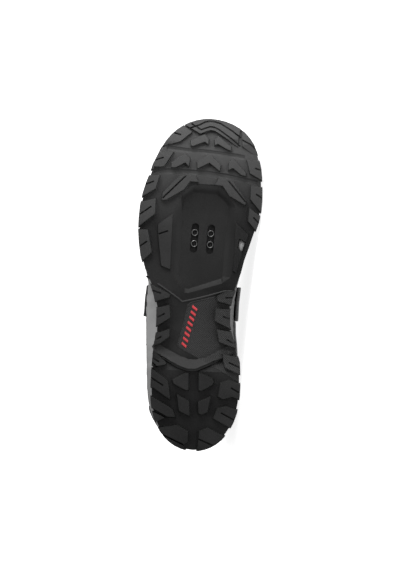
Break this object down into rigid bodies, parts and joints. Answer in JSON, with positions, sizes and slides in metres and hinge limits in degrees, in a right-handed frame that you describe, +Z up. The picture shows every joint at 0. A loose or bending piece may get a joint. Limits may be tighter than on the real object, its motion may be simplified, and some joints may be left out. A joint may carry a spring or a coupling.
{
  "type": "cycling shoe",
  "caption": "Right cycling shoe lying on its inner side: lugged rubber outsole with a recessed cleat pocket, foam midsole, hollow low upper, tongue and one instep strap.",
  "frame": {"origin": "middle of the bounding box's bottom, on the floor on which the shoe lies on its inner side", "axes": "+X towards the toe, +Y towards the collar (the sole faces -Y), +Z up towards the outer side of the shoe"},
  "size_m": [0.2896, 0.1204, 0.1053],
  "materials": {
    "rubber": "matte moulded rubber with fine texture between smooth lug faces",
    "foam": "moulded grey foam with a fine skin",
    "steel": "dark plated steel",
    "lining": "brushed knit over foam",
    "mesh": "close black mesh",
    "padding": "padded black mesh",
    "synthetic": "black synthetic leather",
    "guard": "matte black moulded guard",
    "webbing": "black synthetic strap with stitched edges"
  },
  "bodies": {
    "root": {"outsole": "rubber", "midsole": "foam", "cleat_nut_plate": "steel", "insole": "lining", "upper": "mesh", "tongue": "padding", "eyestay": "synthetic", "toe_cap": "guard", "heel_counter": "synthetic", "instep_strap": "webbing"}
  },
  "joints": []
}
